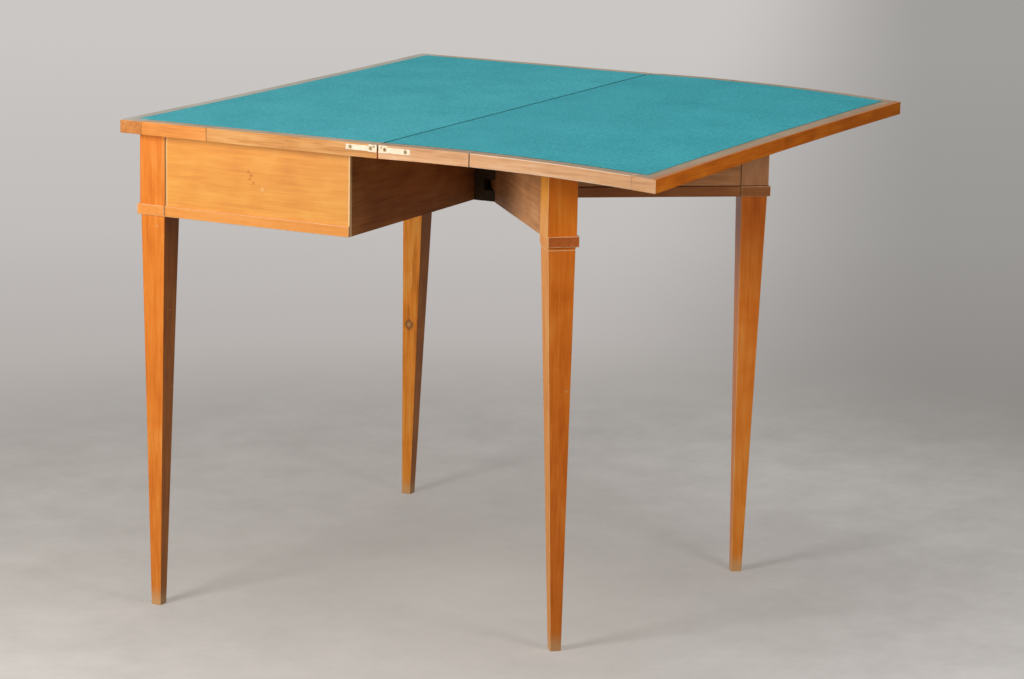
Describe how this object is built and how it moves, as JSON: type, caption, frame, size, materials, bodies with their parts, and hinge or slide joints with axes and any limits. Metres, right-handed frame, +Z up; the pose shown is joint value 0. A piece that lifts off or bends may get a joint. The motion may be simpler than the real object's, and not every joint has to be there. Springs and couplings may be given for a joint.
{
  "type": "games table",
  "caption": "Fold-over games table with a baize-covered top, shown open: a hinged leaf, two swing legs on knuckle-jointed rails, and square tapered legs with bands.",
  "frame": {"origin": "on the floor, under the middle of the fold between the two halves of the top", "axes": "+X along the fold, -Y the front of the closed table, +Y towards the open leaf, +Z up"},
  "size_m": [0.918, 0.865, 0.752],
  "materials": {
    "honey_wood": "satin, honey-orange fruitwood",
    "shaded_wood": "dull, brown inner frame wood",
    "edge_wood": "satin, paler tan edging",
    "core_wood": "plain, unpolished underside",
    "baize": "blue-green woollen baize",
    "brass": "pale polished brass",
    "iron": "dark iron wire"
  },
  "bodies": {
    "base": {"fixed_board": "core_wood", "fixed_front_lipping": "honey_wood", "fixed_side_lipping_short_near": "honey_wood", "fixed_side_lipping_short_far": "honey_wood", "fixed_side_lipping_long_near": "honey_wood", "fixed_side_lipping_long_far": "honey_wood", "fixed_baize": "baize", "hinge_fixed_plate_near": "brass", "hinge_fixed_plate_far": "brass", "hinge_fixed_pin_near": "brass", "hinge_fixed_pin_far": "brass", "hinge_fixed_inner_screw_near": "brass", "hinge_fixed_inner_screw_far": "brass", "hinge_fixed_outer_screw_near": "brass", "hinge_fixed_outer_screw_far": "brass", "front_apron": "honey_wood", "side_apron_near": "honey_wood", "side_apron_far": "honey_wood", "back_apron": "shaded_wood", "knuckle_block": "shaded_wood", "front_apron_band": "honey_wood", "side_apron_band_near": "honey_wood", "side_apron_band_far": "honey_wood", "knuckle_pin_near": "iron", "knuckle_pin_far": "iron", "front_glue_block_near": "core_wood", "front_glue_block_far": "core_wood", "back_glue_block_near": "core_wood", "back_glue_block_far": "core_wood", "front_leg_near": "honey_wood", "front_leg_far": "honey_wood", "front_leg_band_near": "honey_wood", "front_leg_band_far": "honey_wood"},
    "hinge_links": {"hinge_link_near": "brass", "hinge_link_far": "brass"},
    "leaf": {"leaf_board": "core_wood", "leaf_edge_lipping": "honey_wood", "leaf_side_lipping_short_near": "edge_wood", "leaf_side_lipping_short_far": "edge_wood", "leaf_side_lipping_long_near": "edge_wood", "leaf_side_lipping_long_far": "edge_wood", "leaf_baize": "baize", "hinge_leaf_plate_near": "brass", "hinge_leaf_plate_far": "brass", "hinge_leaf_pin_near": "brass", "hinge_leaf_pin_far": "brass", "hinge_leaf_inner_screw_near": "brass", "hinge_leaf_inner_screw_far": "brass", "hinge_leaf_outer_screw_near": "brass", "hinge_leaf_outer_screw_far": "brass"},
    "near_swing_leg": {"swing_rail_near": "shaded_wood", "swing_rail_band_near": "honey_wood", "swing_leg_near": "honey_wood", "swing_leg_band_near": "honey_wood"},
    "far_swing_leg": {"swing_rail_far": "shaded_wood", "swing_rail_band_far": "honey_wood", "swing_leg_far": "honey_wood", "swing_leg_band_far": "honey_wood"}
  },
  "joints": [
    {"name": "link_turn", "type": "hinge", "parent": "base", "child": "hinge_links", "pos_m": [0, -0.006, 0.7467], "axis": [1, 0, 0], "range_deg": [0, 90]},
    {"name": "leaf_turn", "type": "hinge", "parent": "hinge_links", "child": "leaf", "pos_m": [0, 0.006, 0.7467], "axis": [1, 0, 0], "range_deg": [0, 90]},
    {"name": "near_leg_swing", "type": "hinge", "parent": "base", "child": "near_swing_leg", "pos_m": [0.0158, -0.0345, 0.66], "axis": [0, 0, 1], "range_deg": [-41.4, 33.6]},
    {"name": "far_leg_swing", "type": "hinge", "parent": "base", "child": "far_swing_leg", "pos_m": [-0.0158, -0.0345, 0.66], "axis": [0, 0, -1], "range_deg": [-54.2, 20.8]}
  ],
  "couplings": [
    {"joint": "link_turn", "follows": "leaf_turn", "ratio": 1}
  ]
}
